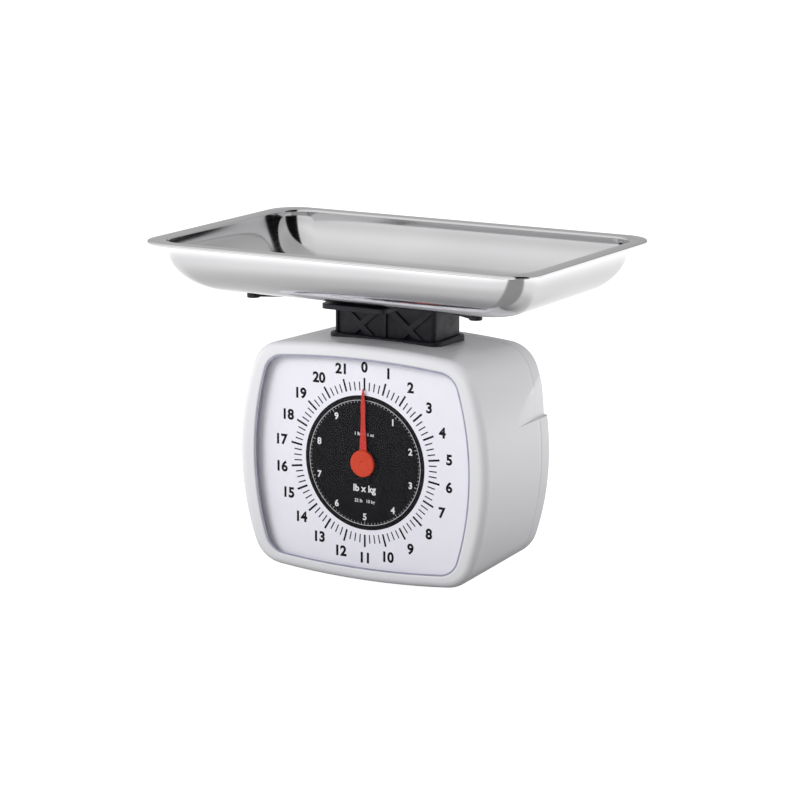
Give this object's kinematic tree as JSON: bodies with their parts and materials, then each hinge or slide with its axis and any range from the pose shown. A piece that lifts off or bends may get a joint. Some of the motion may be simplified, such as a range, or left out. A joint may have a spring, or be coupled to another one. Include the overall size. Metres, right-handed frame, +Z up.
{
  "type": "mechanical dial platform scale",
  "caption": "Spring platform scale: bowed-square housing with a round dial behind a clear window, a black column on top and a shallow rectangular steel tray.",
  "frame": {"origin": "centre of the footprint on the table, under the middle of the tray", "axes": "+X to the reader's right along the tray, +Y away from the reader of the dial, +Z up"},
  "size_m": [0.324, 0.2084, 0.2491],
  "materials": {
    "white_housing": "satin moulded ABS",
    "clear_lens": "clear polystyrene",
    "dial_face": "printed matt",
    "black_plastic": "fine-textured moulded ABS",
    "rubber": "matt",
    "zinc_steel": "zinc plated",
    "brass": "machined",
    "spring_steel": "oiled wire",
    "red_pointer": "satin paint",
    "red_cap": "gloss",
    "polished_stainless": "polished stainless steel"
  },
  "bodies": {
    "housing": {"front_housing": "white_housing", "rear_cover": "white_housing", "lens": "clear_lens", "dial_plate": "dial_face", "column_collar": "black_plastic", "rubber_feet": "rubber", "foot_screws": "zinc_steel", "cover_screws": "zinc_steel", "dial_screws": "zinc_steel", "chassis": "zinc_steel", "front_bush": "brass", "rear_bush": "brass", "lever_pins": "zinc_steel", "overload_stop": "rubber"},
    "platform": {"platform_support": "black_plastic", "support_screws": "zinc_steel", "platform_pads": "rubber", "carrier": "zinc_steel", "carrier_pins": "zinc_steel", "rack": "brass", "rack_pin": "zinc_steel", "rack_spring": "spring_steel", "main_spring_left": "spring_steel", "main_spring_right": "spring_steel"},
    "upper_lever": {"upper_lever": "zinc_steel"},
    "lower_lever": {"lower_lever": "zinc_steel"},
    "pointer": {"pinion": "brass", "pointer_shaft": "zinc_steel", "shaft_collar": "brass", "pointer": "red_pointer", "pointer_cap": "red_cap"},
    "zero_wheel": {"zero_thumbwheel": "black_plastic", "adjusting_screw": "zinc_steel"},
    "hanger": {"spring_hanger": "zinc_steel"},
    "tray": {"tray": "polished_stainless"}
  },
  "joints": [
    {"name": "platform_slide", "type": "slide", "parent": "housing", "child": "platform", "axis": [0, 0, -1], "range_m": [0, 0.01885], "stiffness_N_per_m": 5191, "springref_m": -0.0018, "deforming": ["main_spring_left", "main_spring_right"]},
    {"name": "upper_lever_turn", "type": "hinge", "parent": "housing", "child": "upper_lever", "pos_m": [0, 0.036, 0.126], "axis": [1, 0, 0], "range_deg": [0, 24.48]},
    {"name": "lower_lever_turn", "type": "hinge", "parent": "housing", "child": "lower_lever", "pos_m": [0, 0.036, 0.036], "axis": [1, 0, 0], "range_deg": [0, 24.48]},
    {"name": "pointer_turn", "type": "hinge", "parent": "housing", "child": "pointer", "pos_m": [0, 0, 0.09025], "axis": [0, 1, 0], "range_deg": [0, 360.1]},
    {"name": "zero_wheel_turn", "type": "hinge", "parent": "housing", "child": "zero_wheel", "pos_m": [0, 0.0395, 0.146], "axis": [0, 0, 1], "range_deg": [-360, 360]},
    {"name": "hanger_slide", "type": "slide", "parent": "housing", "child": "hanger", "axis": [0, 0, 1], "range_m": [-0.00071, 0.00071], "deforming": ["main_spring_left", "main_spring_right"]},
    {"name": "tray_lift", "type": "slide", "parent": "platform", "child": "tray", "axis": [0, 0, 1], "range_m": [0, 0.06]}
  ],
  "couplings": [
    {"joint": "pointer_turn", "follows": "platform_slide", "rad_per_m": 333.33},
    {"joint": "upper_lever_turn", "follows": "platform_slide", "rad_per_m": 22.643},
    {"joint": "lower_lever_turn", "follows": "platform_slide", "rad_per_m": 22.643},
    {"joint": "hanger_slide", "follows": "zero_wheel_turn", "m_per_rad": -0.00011141}
  ]
}
